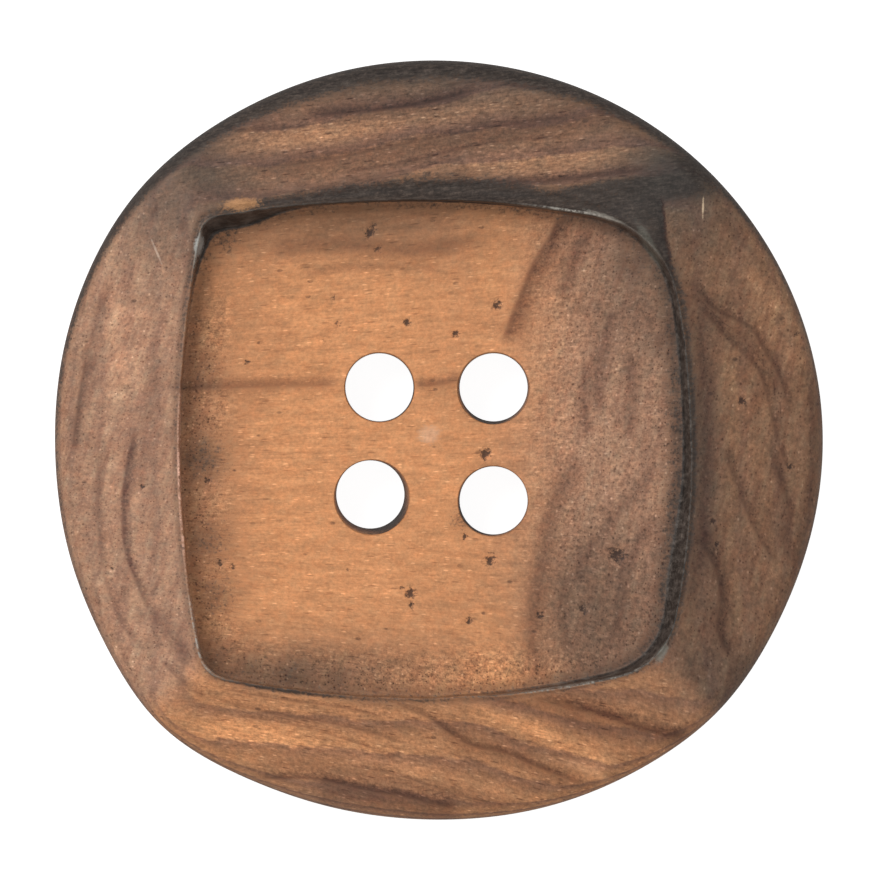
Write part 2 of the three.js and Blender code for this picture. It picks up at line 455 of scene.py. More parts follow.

# Thin dark lines, mostly at the ends of growth rings, the last one a painted shadow: a path of x, y points,
# half width, and strength.
LINES = (
    # left facet
    (
        ((-10.9, 0.6), (-11.2, -0.8), (-11.36, -2.1), (-11.3, -3.7), (-10.9, -5.0), (-10.3, -6.3)),
        0.13,
        0.65,
    ),
    (((-12.2, 0.2), (-12.3, -1.8), (-12.2, -3.5), (-12.0, -5.0), (-11.4, -6.6), (-10.4, -7.8)), 0.12, 0.35),
    (((-12.7, 3.0), (-13.0, 1.4), (-13.2, -0.4)), 0.10, 0.40),
    (((-10.0, -7.9), (-9.2, -8.7), (-8.4, -9.3)), 0.10, 0.40),
    # top facet
    (((-6.8, 9.9), (-3.9, 10.3), (-1.4, 10.8), (2.2, 11.5), (5.2, 11.9)), 0.08, 0.35),
    (((-4.8, 11.9), (-3.3, 12.0), (-2.0, 12.1), (-0.2, 12.4), (1.6, 12.9)), 0.09, 0.42),
    (((-7.4, 11.3), (-6.0, 11.4), (-4.6, 11.5)), 0.08, 0.50),
    (((-3.4, 9.8), (-1.0, 10.2), (2.0, 10.9), (5.0, 11.1)), 0.08, 0.35),
    (((-0.8, 9.3), (1.6, 9.35), (4.0, 9.5), (5.9, 9.7), (7.7, 9.95)), 0.12, 0.55),
    # right facet
    (((9.2, 6.0), (10.1, 4.9), (11.4, 4.2), (12.0, 3.3), (12.6, 2.2), (12.9, 0.9)), 0.12, 0.45),
    (((9.4, 5.2), (10.6, 3.8), (11.7, 2.7), (12.1, 1.5), (12.4, 0.2), (12.9, -1.2)), 0.11, 0.40),
    (((10.4, 0.0), (11.0, -1.7), (11.7, -3.3), (12.4, -4.4)), 0.13, 0.40),
    (((12.0, 0.1), (12.5, -1.2), (12.9, -2.7), (12.5, -3.9)), 0.12, 0.35),
    (((9.6, -3.5), (10.2, -4.6), (10.4, -5.7), (10.3, -6.9), (10.8, -7.9)), 0.15, 0.50),
    # bottom facet
    (((3.4, -9.2), (5.9, -9.8), (7.7, -10.4), (9.2, -10.7)), 0.20, 0.65),
    (((-1.6, -9.5), (-0.4, -9.9), (1.1, -10.9), (2.6, -11.3), (4.0, -11.9), (5.6, -12.5)), 0.10, 0.50),
    (((-8.2, -9.3), (-5.7, -9.9), (-3.3, -10.3), (-0.9, -11.0)), 0.07, 0.35),
    (((-7.4, -9.9), (-5.0, -10.3), (-3.0, -10.9), (-1.4, -11.5)), 0.06, 0.30),
    (((-8.0, -8.9), (-5.6, -9.35), (-3.6, -9.6), (-1.8, -10.0)), 0.06, 0.35),
    (((-6.6, -12.2), (-4.5, -12.2), (-2.5, -12.6), (-0.9, -12.9), (1.0, -13.4)), 0.12, 0.60),
    (((-3.4, -11.7), (-1.4, -12.1), (0.4, -12.7), (2.2, -13.2)), 0.06, 0.35),
    # floor
    (((4.6, 8.3), (4.1, 7.3), (3.5, 6.3), (2.9, 4.8), (2.4, 3.5)), 0.17, 0.55),
    (((-9.9, 1.95), (-7.6, 2.05), (-5.4, 2.1), (-3.4, 2.15)), 0.14, 0.30),
    (((-0.8, 2.1), (0.2, 2.15), (0.9, 2.35)), 0.12, 0.30),
    # a painted shadow along the step at the well's upper right corner, where the right facet's edge runs on
    # upwards
    (((8.60, 5.2), (8.52, 6.4), (8.30, 7.6), (8.15, 9.2)), 0.14, 0.95),
)
# Broad bands, dark or (with a negative strength) light.
BANDS = (
    # left facet
    (((-10.2, 3.2), (-10.5, 1.9), (-10.6, 0.6), (-11.0, -2.0)), 0.40, 0.30),
    (((-12.4, 3.2), (-12.9, 1.4), (-13.2, -0.4)), 0.25, 0.35),
    (((-11.9, 5.6), (-12.5, 3.8), (-12.9, 2.4)), 0.25, 0.30),
    (((-10.4, -6.0), (-9.5, -7.2), (-8.8, -8.0)), 0.35, 0.45),
    (((-11.2, 5.4), (-11.3, 3.0), (-11.5, 1.2)), 0.70, -0.25),
    # top facet
    (((-7.1, 9.8), (-3.9, 10.2), (-1.4, 10.6), (2.2, 11.3), (5.2, 11.7), (7.1, 11.9)), 0.46, 0.42),
    (((-4.8, 11.9), (-3.3, 12.0), (-2.0, 12.1), (-0.2, 12.4), (1.6, 12.9)), 0.36, 0.48),
    (
        ((-8.0, 10.3), (-6.9, 10.7), (-5.1, 11.0), (-3.3, 11.3), (-0.9, 11.7), (1.6, 12.1), (4.0, 12.6)),
        0.34,
        -0.24,
    ),
    (((-6.6, 9.1), (-4.5, 9.4), (-2.0, 9.5), (0.4, 9.9)), 0.22, -0.30),
    (((0.8, 9.8), (2.8, 10.2), (5.2, 10.3), (7.1, 10.7)), 0.38, -0.45),
    # right facet; the first band is painted shade beside the lip
    (((9.3, 5.2), (9.7, 3.0), (9.8, 0.6), (9.8, -1.8), (9.5, -4.4), (9.0, -6.6)), 0.34, 0.45),
    (((9.2, 5.8), (10.3, 4.4), (11.5, 3.5), (12.1, 2.4), (12.4, 1.6)), 0.42, 0.35),
    (((11.2, 6.6), (12.2, 5.2), (13.0, 3.6), (13.2, 2.4)), 0.45, -0.25),
    (((10.2, 3.4), (10.9, 2.0), (11.2, 0.2), (11.9, -1.8)), 0.45, -0.20),
    (((12.2, -0.6), (12.7, -1.8), (12.7, -3.2), (12.9, -4.2)), 0.20, 0.35),
    (((9.8, -3.0), (10.3, -4.4), (10.4, -5.8), (10.3, -6.8), (10.7, -7.8)), 0.36, 0.35),
    (((10.2, 8.4), (11.2, 7.2), (12.2, 5.6)), 0.25, 0.25),
    (((13.6, 2.0), (13.7, 0.0), (13.5, -2.4), (12.9, -5.0)), 0.22, 0.35),
    # bottom facet
    (((1.6, -9.2), (3.9, -9.6), (5.9, -10.0), (7.7, -10.5), (9.6, -11.0)), 0.38, 0.38),
    (((-6.8, -11.6), (-3.6, -11.9), (-0.4, -12.5), (3.0, -13.2)), 0.24, 0.30),
    (((0.2, -10.3), (1.1, -10.9), (2.6, -11.4), (4.0, -12.0), (5.6, -12.6)), 0.34, 0.40),
    (((-4.5, -12.6), (-2.5, -12.9), (-0.9, -13.2), (1.0, -13.6)), 0.50, 0.45),
    (((4.4, -9.9), (6.4, -10.8), (7.8, -11.4)), 0.30, 0.22),
    (((1.0, -9.6), (3.4, -10.3), (4.6, -11.0), (6.4, -12.1)), 0.36, -0.45),
    (((-9.4, -10.1), (-6.9, -10.5), (-4.5, -11.0), (-2.0, -11.5), (0.4, -12.1)), 0.45, -0.35),
    (((-8.6, -8.8), (-5.6, -9.1), (-3.0, -9.5)), 0.14, -0.25),
    # floor
    (((4.8, 8.3), (4.3, 7.1), (3.7, 6.1), (3.2, 4.8), (2.6, 3.5)), 0.40, 0.45),
    (((5.6, 7.8), (4.9, 6.4), (4.6, 5.2)), 0.30, 0.50),
    (((6.4, 5.0), (6.1, 3.6), (5.9, 2.2), (6.0, 1.0)), 0.28, 0.50),
    (((5.5, 3.0), (5.4, 1.6), (5.5, 0.2)), 0.20, 0.50),
    (((7.0, 3.4), (7.1, 1.6), (6.9, 0.0)), 0.26, 0.40),
    (((5.3, -0.4), (4.4, -2.0), (4.0, -3.7), (3.7, -5.2), (3.5, -6.8), (3.7, -8.8)), 0.34, 0.50),
    (((8.2, -0.6), (7.3, -1.8), (6.3, -2.9), (5.5, -4.1), (5.0, -5.4)), 0.22, 0.40),
    (((8.0, -2.6), (7.2, -4.0), (6.8, -5.4), (6.5, -7.0)), 0.22, 0.40),
    (((4.7, -4.6), (4.6, -6.2), (4.9, -7.8)), 0.24, 0.35),
    (((-9.9, 1.95), (-7.6, 2.05), (-5.4, 2.1), (-3.4, 2.15)), 0.30, 0.35),
    (((-0.8, 2.1), (0.2, 2.15), (0.9, 2.35)), 0.25, 0.35),
    (((-6.2, 7.0), (-3.4, 7.2), (-0.8, 7.0), (1.8, 7.4)), 0.32, 0.42),
    (((-5.0, 6.1), (-2.6, 6.4), (0.4, 6.3)), 0.14, 0.30),
)

# Where the lip is rubbed bare and carries a painted highlight on its rounded crest: direction, spread in
# degrees, strength, colour.
LIP_WEAR_AND_HIGHLIGHT = (
    (188, 20, 0.95, BLUSH),
    (158, 8, 0.35, SMOKE),
    (141, 4, 0.95, SILVER),
    (128, 8, 0.20, SMOKE),
    (219, 8, 0.90, SILVER),
    (300, 12, 0.75, SILVER),
    (314, 5, 0.60, SMOKE),
    (350, 30, 0.12, SMOKE),
    (59, 8, 1.00, SILVER),
    (46, 9, 0.35, SMOKE),
)

# Pale patches, some rubbed pale and some painted highlight: x, y, the direction they run in, length, width,
# strength, colour.
PALE_PATCHES_AND_HIGHLIGHTS = (
    (9.70, 8.5, 88, 1.0, 0.10, 0.70, (205, 180, 150)),  # scratches
    (-10.15, 6.9, -67, 1.3, 0.10, 0.45, (205, 180, 160)),
    (-8.62, 7.15, 80, 1.0, 0.40, 0.80, (160, 162, 158)),  # corners of the well, partly bare, partly painted highlight in the fillets
    (8.20, -7.70, 62, 1.1, 0.40, 0.60, (120, 122, 114)),
    (6.10, 8.20, -19, 1.8, 0.24, 0.50, (150, 144, 134)),
    (7.75, 7.15, -62, 2.2, 0.50, 0.55, (98, 97, 88)),
    (-7.10, 8.64, 5, 1.7, 0.62, 0.55, (202, 147, 98)),  # unburnt corner of the top facet
    (-0.25, 0.28, 10, 1.0, 0.80, 0.30, (236, 200, 170)),  # rough patch between the holes
    (5.40, -11.9, -22, 2.6, 0.45, 0.25, (214, 162, 120)),  # lower edge
)

# Smoke stains on the floor, those along the well's walls and in its corners partly painted shade: x, y,
# radius, strength.
SMOKE_AND_SHADE_STAINS = (
    (0.95, -2.85, 0.50, 0.50),
    (1.20, 1.15, 0.45, 0.35),
    (-1.30, -2.60, 0.40, 0.35),
    (7.2, 6.6, 0.9, 0.40),
    (8.3, 3.6, 0.6, 0.40),
    # along the walls and in the corners: soot and painted shade
    (-7.6, 7.4, 0.6, 0.55),
    (-7.9, -7.6, 0.9, 0.25),
    (-8.4, 2.6, 0.9, 0.35),
    (-8.5, -0.6, 1.1, 0.52),
    (-8.2, -3.6, 1.0, 0.45),
    (-8.0, -5.6, 1.0, 0.45),
    (-6.9, -8.3, 0.7, 0.40),
    (-5.2, -8.5, 0.8, 0.45),
    (-3.6, -8.7, 0.6, 0.35),
)

# Deep pores and burnt specks: x, y, radius.
SPOTS = (
    (-2.45, 7.62, 0.17), (-2.25, 7.85, 0.10), (-2.12, 7.01, 0.12), (-1.07, 4.35, 0.15),
    (2.22, 5.0, 0.17), (0.72, 3.95, 0.13), (-3.73, 5.26, 0.08), (-3.55, 4.31, 0.10),
    (-4.13, 3.69, 0.08), (-6.87, 2.92, 0.10), (-8.33, -1.38, 0.12), (-7.90, -4.41, 0.14),
    (-7.45, -4.55, 0.10), (-3.18, -4.60, 0.08), (-0.92, -5.47, 0.19), (-0.88, -5.95, 0.12),
    (-1.25, -5.30, 0.08), (1.96, -4.30, 0.20), (1.78, -0.43, 0.20), (6.60, -4.12, 0.26),
    (5.36, -6.09, 0.16), (3.79, -6.31, 0.14), (1.20, -6.49, 0.13), (1.10, -2.5, 0.10),
    (1.05, -3.45, 0.12), (11.13, 1.50, 0.14), (10.07, -2.88, 0.10), (10.20, -3.70, 0.09),
    (13.10, 3.90, 0.10), (12.85, -0.87, 0.10), (-10.67, -1.57, 0.10), (-12.56, -0.20, 0.08),
    (-11.80, -4.60, 0.07),
)


def blend(a, b, share):
    """Colours a shading into colours b."""
    return a + (b - a) * share[:, None]


def with_zones(shade, x, y, zones):
    for (at_x, at_y), (half_width, half_height), change in zones:
        here = bell(x, at_x, half_width) * bell(y, at_y, half_height)
        shade = shade + np.array(change) * here[:, None]
    return shade


def rim_shade(x, y, direction):
    shade = np.tile(0.0, (len(x), 3))
    for facing, on_facet in FACET_TONES_AND_LIGHTING:
        shade = blend(shade, np.array(on_facet), step(np.abs(turn(facing, direction)), 50, 41))
    return with_zones(shade, x, y, RIM_ZONES)


def floor_shade(x, y):
    """Honey-coloured on the left and rosy on the right, with a bowed, soft border between them."""
    left = np.tile(FLOOR_LEFT_SHADE, (len(x), 1))
    shade = blend(left, np.array(FLOOR_RIGHT_SHADE), step(x - 0.015 * y**2, 1.0, 6.0))
    return with_zones(shade, x, y, FLOOR_ZONES)


def wood_tint(shade):
    """Colour of wood that is so rosy, dark and smoky."""
    rosy, dark, smoky = np.clip(shade, 0, 1).T
    tint = np.tile(srgb(*HONEY), (len(rosy), 1))
    for colour, share in ((ROSE, rosy), (WALNUT, dark), (ASH, smoky)):
        tint = blend(tint, srgb(*colour), share)
    return tint


def path_points(path, steps=8):
    """A smooth curve through the points of a path."""
    p = np.array((path[0], *path, path[-1]), float)
    t = np.arange(steps)[:, None] / steps
    spans = []
    for a, b, c, d in zip(p, p[1:], p[2:], p[3:]):
        twist = 3 * b - a - 3 * c + d
        spans.append(0.5 * (2 * b + (c - a) * t + (2 * a - 5 * b + 4 * c - d) * t**2 + twist * t**3))
    return np.concatenate((*spans, p[-1:]))


def along_path(x, y, path):
    """Signed distance to the left of a path, and the share of its length travelled."""
    curve = path_points(path)
    side = np.full_like(x, 99.0)
    travelled = np.zeros_like(x)
    for index, (start, end) in enumerate(zip(curve, curve[1:])):
        span = end - start
        length = np.hypot(*span)
        t = np.clip(((x - start[0]) * span[0] + (y - start[1]) * span[1]) / length**2, 0, 1)
        away = np.hypot(x - start[0] - t * span[0], y - start[1] - t * span[1])
        left = np.sign((y - start[1]) * span[0] - (x - start[0]) * span[1])
        nearer = away < np.abs(side)
        side = np.where(nearer, left * away, side)
        travelled = np.where(nearer, (index + t) / (len(curve) - 1), travelled)
    return side, travelled


def fade_at_ends(travelled):
    return step(travelled, -0.02, 0.15) * step(travelled, 1.02, 0.85)


def band_amount(x, y):
    """Darkness of the broad bands, negative where they are light."""
    total = np.zeros_like(x)
    for path, half_width, strength in BANDS:
        side, travelled = along_path(x, y, path)
        total += strength * fade_at_ends(travelled) * np.exp(-((side / half_width) ** 2))
    return total


def line_fields(x, y):
    """Distance across the nearest thin line, in half widths, and that line's strength."""
    across = np.full_like(x, 4.0)
    strengths = np.zeros_like(x)
    for path, half_width, strength in LINES:
        side, travelled = along_path(x, y, path)
        side = np.clip(side / half_width, -4, 4)
        nearer = np.abs(side) < np.abs(across)
        across = np.where(nearer, side, across)
        here = strength * fade_at_ends(travelled) * step(np.abs(side), 3.6, 2.4)
        strengths = np.where(nearer, here, strengths)
    return across, strengths


def lip_wear_and_highlight(direction):
    """Strength and colour of the worn lip, with the painted highlight on its crest."""
    total = np.zeros((len(direction), 3))
    weights = np.full(len(direction), 1e-9)
    strength = np.zeros_like(direction)
    for at, spread, amount, colour in LIP_WEAR_AND_HIGHLIGHT:
        weight = bell(turn(at, direction), 0, spread)
        total += weight[:, None] * srgb(*colour)
        weights += weight
        strength = np.maximum(strength, amount * weight)
    return strength, total / weights[:, None]


def spot_distance(x, y):
    """Distance from the middle of the nearest spot, in spot radii."""
    nearest = np.full_like(x, 4.0)
    for at_x, at_y, radius in SPOTS:
        nearest = np.minimum(nearest, np.hypot(x - at_x, y - at_y) / radius)
    return nearest


def bore_char_and_shade(x, y, z):
    """Char and painted shade inside the thread holes, thickest on the side that each one widens to."""
    amount = np.zeros_like(x)
    for hole in HOLES:
        cx, cy, radius = hole_centre(hole, np.clip(z, 0, FLOOR_THICKNESS))
        inside = np.hypot(x - cx, y - cy) < radius + 0.03
        around = np.degrees(np.arctan2(y - cy, x - cx))
        towards = hole[2]
        amount = np.maximum(amount, inside * (0.25 + 0.95 * bell(turn(towards, around), 0, 45)))
    return amount * step(z, FLOOR_THICKNESS - 0.16, FLOOR_THICKNESS - 0.3) * step(z, 0.01, 0.04)


def growth_rings(x, y, z):
    """Number of growth rings crossed. They lie almost flat, so the sloping facets show contours."""
    flat = z / 0.28 + 0.13 * x + 0.04
    swell = 0.35 * rough(x * 0.16, y * 0.16, z * 0.2, octaves=2, seed=3)
    ripple = 0.10 * rough(x * 0.5, y * 0.8, z * 0.8, octaves=2, seed=7)
    return flat + swell + ripple


def wall_amount(direction, beyond_lip):
    """1 on the well's wall where it is charred, and at the upper left where it is also painted shade; less
    where it is not.
    """
    run = wall_run(direction) + 0.4 * FLOOR_FILLET
    charred = np.maximum(bell(turn(-10, direction), 0, 60), bell(turn(133, direction), 0, 14))
    return (0.25 + 0.75 * charred) * step(-beyond_lip / run, 1.3, 0.9) * (beyond_lip < 0)


def smoke_and_shade_amount(x, y):
    total = np.zeros_like(x)
    for at_x, at_y, radius, strength in SMOKE_AND_SHADE_STAINS:
        total = np.maximum(total, strength * bell(np.hypot(x - at_x, y - at_y), 0, radius))
    return total


# Char, with painted shade beside the lips and walls and down the holes.
def char_and_shade_amount(x, y, z, beyond_lip, from_edge):
    direction = np.degrees(np.arctan2(y, x))
    outside = beyond_lip > 0
    # the outer edge: a thin line all round, a wide band along the top
    width = 0.07 + 0.62 * bell(turn(95, direction), 0, 48) + 0.08 * bell(turn(195, direction), 0, 50)
    strength = 0.35 + 0.85 * bell(turn(105, direction), 0, 75)
    down_the_side = 0.35 + 0.65 * step(z, 0.8, 3.0)
    edge = strength * down_the_side * np.clip(1.5 - from_edge / width, 0, 1) * step(z, 0.0, 0.5)
    # the cove beside the lip: char left in the hollow, and on the right side painted shade as well
    cove_strength = 0.35 + 0.70 * bell(turn(85, direction), 0, 45) + 0.35 * bell(turn(-8, direction), 0, 32)
    in_cove = step(beyond_lip / cove_width(direction), 2.1, 0.2) * (beyond_lip > -0.1 * (y > 7))
    cove = 1.2 * cove_strength * in_cove
    # a dark line along the bottom lip: char, and painted shadow just outside the crest
    bottom_share = 0.9 * bell(turn(238, direction), 0, 17) + 0.5 * bell(turn(268, direction), 0, 14)
    bottom_lip = bottom_share * bell(beyond_lip, 0.03, 0.10)
    # soot on the floor beside the wall, with painted shade where the wall shades the floor
    right_side = bell(turn(-5, direction), 0, 50)
    left = bell(turn(190, direction), 0, 45)
    reach = 0.35 + 0.75 * right_side + 1.6 * left
    run = wall_run(direction) + FLOOR_FILLET
    strength = 0.35 + 0.40 * right_side - 0.10 * left
    soot_and_shade = strength * step((-beyond_lip - run) / reach, 1.0, -0.1) * ~outside
    amount = np.maximum.reduce((cove, bottom_lip, soot_and_shade, smoke_and_shade_amount(x, y) * ~outside))
    # the charred flat between the rounded corner of the well and the right facet, and the mitre beyond it
    corner_edge = 8.15 + 0.12 * (9 - y)
    corner = 0.95 * step(x, corner_edge + 0.06, corner_edge - 0.06) * step(x, 2.6, 4.8)
    corner = corner * step(y, 4.6, 6.0) * step(y - 0.14 * x, 8.9, 8.4) * outside
    mitre = 0.95 * bell(turn(46, direction), 0, 6) * step(beyond_lip, 0.2, 1.2) * step(y, 8.4, 9.2)
    amount = np.maximum.reduce((amount, corner, mitre))
    return np.maximum.reduce((edge, amount * step(z, 1.0, 2.6), bore_char_and_shade(x, y, z)))


def store(mesh, name, values):
    kind = "FLOAT_COLOR" if values.ndim == 2 else "FLOAT"
    attribute = mesh.attributes.new(name, kind, "POINT")
    if kind == "FLOAT":
        attribute.data.foreach_set("value", values.astype(np.float32))
        return
    rgba = np.column_stack((values, np.ones(len(values)))).astype(np.float32)
    attribute.data.foreach_set("color", rgba.ravel())


def store_vectors(mesh, name, values):
    attribute = mesh.attributes.new(name, "FLOAT_VECTOR", "POINT")
    attribute.data.foreach_set("vector", values.astype(np.float32).ravel())


def describe_surface(piece):
    """Stores the surface's attributes on the drilled mesh."""
    mesh = piece.data
    co = np.zeros(len(mesh.vertices) * 3)
    mesh.vertices.foreach_get("co", co)
    x, y, z = (co.reshape(-1, 3) / MM).T
    direction = np.degrees(np.arctan2(y, x))
    beyond_lip = np.hypot(x, y) - lip_radius(direction)
    from_edge = outline_radius(direction) - np.hypot(x, y)
    rim = step(beyond_lip, -0.1, 0.1)
    back = step(z, 1.2, 0.1)
    front = step(z, 1.0, 2.6)
    shade = blend(floor_shade(x, y), rim_shade(x, y, direction), rim)
    store(mesh, "tint", wood_tint(blend(shade, np.array(BACK_SHADE), back)))
    store(mesh, "ring", growth_rings(x, y, z))
    # fibres slope up to the right at the top of the button, and down to the right at the bottom
    slope = 0.03 + 0.014 * y - 0.0006 * y * y
    store_vectors(mesh, "grain", np.column_stack((x, y - slope * x, z)))
    store(mesh, "band", band_amount(x, y) * front)
    across, strength = line_fields(x, y)
    store(mesh, "line_across", across)
    store(mesh, "line_strength", strength * front)
    wear_and_highlight, wear_and_highlight_colour = lip_wear_and_highlight(direction)
    store(mesh, "wear_and_highlight", wear_and_highlight * front)
    store(mesh, "wear_and_highlight_colour", wear_and_highlight_colour)
    store(mesh, "spot", spot_distance(x, y) + 5 * back)
    store(mesh, "char_and_shade", char_and_shade_amount(x, y, z, beyond_lip, from_edge))
    store(mesh, "beyond_lip", beyond_lip)
    store(mesh, "wall", wall_amount(direction, beyond_lip) * (z > 1.5))
    # 1 where the fibres end at the surface, 0 where they lie in it
    facing_x = np.cos(np.radians(direction)) ** 2
    rim_ends = rim * step(facing_x, 0.35, 0.65) * step(z, 0.05, 0.3)
    floor = 1 - rim
    floor_right = floor * step(x, 2.0, 5.0) * front
    margin = floor * step(beyond_lip, -2.4, -0.8) * step(y, 6.5, 3.5) * front
    top = rim * bell(turn(90, direction), 0, 40)
    store(mesh, "ends", np.maximum.reduce((rim_ends, 0.8 * floor_right, 0.85 * margin)))
    # how coarse the texture is, and how plainly the growth rings show
    coarse = (rim + 0.6 * top, 1.9 * floor_right, 2.9 * margin, 0.2 * floor)
    store(mesh, "coarse", np.maximum.reduce(coarse))
    upright = rim * (1 - step(facing_x, 0.35, 0.65))
    store(mesh, "ring_strength", 0.12 + 0.10 * rim + 0.30 * upright)


# ---------------------------------------------------------------------------------------------
# Materials
# ---------------------------------------------------------------------------------------------


class Nodes:
    """Builds a material's node tree from short calls. Every call returns an output socket."""

    def __init__(self, name):
        self.material = bpy.data.materials.new(name)
        self.material.use_nodes = True
        self.tree = self.material.node_tree
        self.tree.nodes.clear()

    def node(self, kind, inputs=(), **settings):
        made = self.tree.nodes.new(kind)
        for name, value in settings.items():
            setattr(made, name, value)
        for name, value in dict(inputs).items():
            socket = made.inputs[name]
            if isinstance(value, bpy.types.NodeSocket):
                self.tree.links.new(value, socket)
            elif value is not None:
                socket.default_value = value
        return made

    def math(self, operation, a, b=None, c=None):
        made = self.node("ShaderNodeMath", {0: a, 1: b, 2: c}, operation=operation)
        return made.outputs[0]

    def add(self, a, b):
        return self.math("ADD", a, b)

    def times(self, a, b):
        return self.math("MULTIPLY", a, b)

    def smooth(self, value, low, high, start=0.0, end=1.0):
        made = self.node(
            "ShaderNodeMapRange",
            {"Value": value, "From Min": low, "From Max": high, "To Min": start, "To Max": end},
            interpolation_type="SMOOTHSTEP",
        )
        return made.outputs[0]

    def mix(self, share, a, b, blend="MIX"):
        made = self.node("ShaderNodeMix", data_type="RGBA", blend_type=blend)
        for index, value in ((0, share), (6, a), (7, b)):
            socket = made.inputs[index]
            if isinstance(value, bpy.types.NodeSocket):
                self.tree.links.new(value, socket)
            else:
                socket.default_value = value if index == 0 else (*value, 1.0)[:4]
        return made.outputs[2]

    def attribute(self, name, output="Fac"):
        return self.node("ShaderNodeAttribute", attribute_name=name).outputs[output]

    def centred(self, value, factor):
        """A noise value moved to swing round zero, times a factor."""
        return self.times(self.math("SUBTRACT", value, 0.5), factor)

    def rgb(self, red, green, blue):
        return self.node("ShaderNodeCombineColor", {0: red, 1: green, 2: blue}).outputs[0]

    def swing(self, value, amount):
        """A factor that swings round 1 as a noise value swings round one half."""
        return self.math("MULTIPLY_ADD", value, 2 * amount, 1 - amount)

    def scale(self, colour, factor):
        inputs = {"Vector": colour, "Scale": factor}
        return self.node("ShaderNodeVectorMath", inputs, operation="SCALE").outputs[0]

    def filtered(self, amount, colour, tint):
        """The colour, multiplied by a tint where there is any amount of it."""
        return self.mix(amount, colour, self.mix(1.0, colour, tint, "MULTIPLY"))

    def pale_patch(self, colour, x, y, towards, length, width, strength, pale, ragged):
        """The colour with one soft-edged pale patch on it."""
        across = self.node(
            "ShaderNodeMapping",
            {
                "Vector": self.node("ShaderNodeTexCoord").outputs["Object"],
                "Location": (x * MM, y * MM, 0),
                "Rotation": (0, 0, math.radians(towards)),
                "Scale": (length / 2 * MM, width / 2 * MM, MM),
            },
            vector_type="TEXTURE",
        )
        parts = self.node("ShaderNodeSeparateXYZ", {0: across.outputs[0]}).outputs
        away = self.math("SQRT", self.add(self.times(parts[0], parts[0]), self.times(parts[1], parts[1])))
        on_front = self.smooth(parts[2], 1.0, 2.0)
        inside = self.times(self.smooth(self.add(away, ragged), 1.0, 0.45), on_front)
        return self.mix(self.times(inside, strength), colour, srgb(*pale))

    def marks(self, cells, outer, inner, offset=(0, 0, 0)):
        """Small marks of random strength, one per cell, with the given number of cells per millimetre."""
        made = self.node(
            "ShaderNodeTexVoronoi",
            {"Vector": self.place(cells, offset), "Scale": 1.0, "Randomness": 1.0},
            feature="F1",
        )
        chance = self.node("ShaderNodeSeparateColor", {0: made.outputs["Color"]}).outputs[0]
        mark = self.smooth(made.outputs["Distance"], outer, inner)
        return self.times(mark, self.smooth(chance, 0.25, 1.0))

    def place(self, scale, offset=(0, 0, 0)):
        """Coordinates along the grain in millimetres, times a scale per axis."""
        inputs = {"Vector": self.attribute("grain", "Vector"), "Scale": scale, "Location": offset}
        return self.node("ShaderNodeMapping", inputs).outputs[0]

    def noise(self, scale, detail=2.0, roughness=0.5, offset=(0, 0, 0)):
        made = self.node(
            "ShaderNodeTexNoise",
            {
                "Vector": self.place(scale, offset),
                "Scale": 1.0,
                "Detail": detail,
                "Roughness": roughness,
            },
        )
        return made.outputs["Fac"]


# Linear colours of the fine marks. All but the first multiply the colour under them.
LATE_WOOD = (0.10, 0.05, 0.045)
DARK_BAND = (0.22, 0.15, 0.18)
PALE_BAND = (1.9, 1.85, 1.7)
DARK_MARK = (0.36, 0.29, 0.28)
PALE_SHEEN = (1.8, 1.95, 2.1)
DEEP_PORE = (52, 36, 30)  # as sRGB


